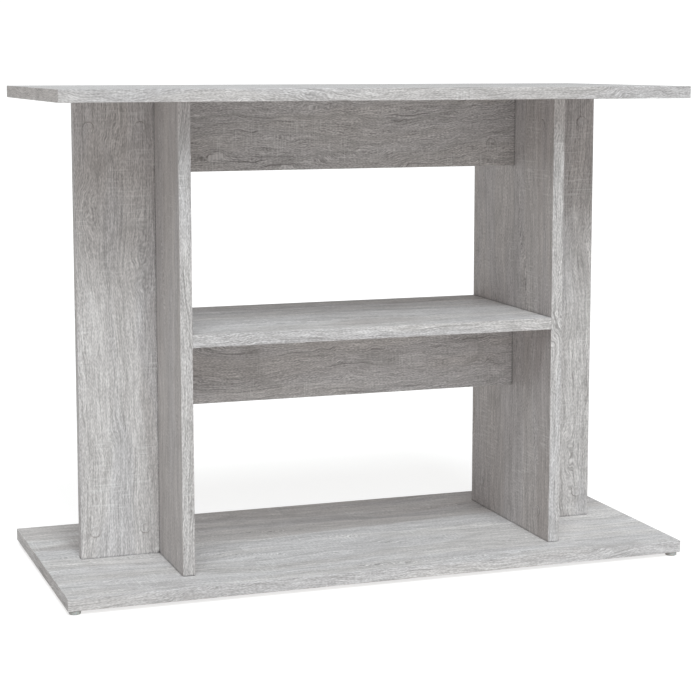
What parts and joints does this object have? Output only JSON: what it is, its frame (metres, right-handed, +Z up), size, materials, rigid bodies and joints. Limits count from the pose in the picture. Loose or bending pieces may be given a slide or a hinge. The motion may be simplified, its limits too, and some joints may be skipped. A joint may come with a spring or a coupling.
{
  "type": "aquarium stand",
  "caption": "Open aquarium stand of grey wood-decor boards: uprights with side wings, a middle shelf and stiffening rails between top and bottom boards.",
  "frame": {"origin": "on the floor under the feet, at the centre of the footprint", "axes": "+X to the right along the length, -Y towards the front, +Z up"},
  "size_m": [0.8, 0.35, 0.605],
  "materials": {
    "grey_oak_board": "matt melamine, grey oak decor with a fine grain relief",
    "grey_oak_edging": "matt edging in the same grey oak decor",
    "cover_cap": "matt cap in the same grey oak decor",
    "zinc_cam": "die-cast zinc, dull",
    "steel_bolt": "zinc-plated steel",
    "beech_dowel": "raw turned beech",
    "foot_plastic": "moulded polyethylene, satin",
    "steel_nail": "bright steel"
  },
  "bodies": {
    "root": {"top_board": "grey_oak_board", "bottom_board": "grey_oak_board", "upright_left": "grey_oak_board", "upright_right": "grey_oak_board", "wing_left": "grey_oak_board", "wing_right": "grey_oak_board", "shelf": "grey_oak_board", "upper_rail": "grey_oak_board", "lower_rail": "grey_oak_board", "top_board_long_edging": "grey_oak_edging", "top_board_end_edging": "grey_oak_edging", "bottom_board_long_edging": "grey_oak_edging", "bottom_board_end_edging": "grey_oak_edging", "upright_left_edging": "grey_oak_edging", "upright_right_edging": "grey_oak_edging", "wing_left_edging": "grey_oak_edging", "wing_right_edging": "grey_oak_edging", "shelf_edging": "grey_oak_edging", "upper_rail_edging": "grey_oak_edging", "lower_rail_edging": "grey_oak_edging", "upright_cams": "zinc_cam", "wing_cams": "zinc_cam", "shelf_cams": "zinc_cam", "rail_cams": "zinc_cam", "upright_cam_bolts": "steel_bolt", "wing_cam_bolts": "steel_bolt", "shelf_cam_bolts": "steel_bolt", "rail_cam_bolts": "steel_bolt", "upright_cam_covers": "cover_cap", "wing_cam_covers": "cover_cap", "shelf_cam_covers": "cover_cap", "rail_cam_covers": "cover_cap", "upright_dowels": "beech_dowel", "wing_dowels": "beech_dowel", "shelf_dowels": "beech_dowel", "rail_dowels": "beech_dowel", "feet": "foot_plastic", "foot_nails": "steel_nail"}
  },
  "joints": []
}
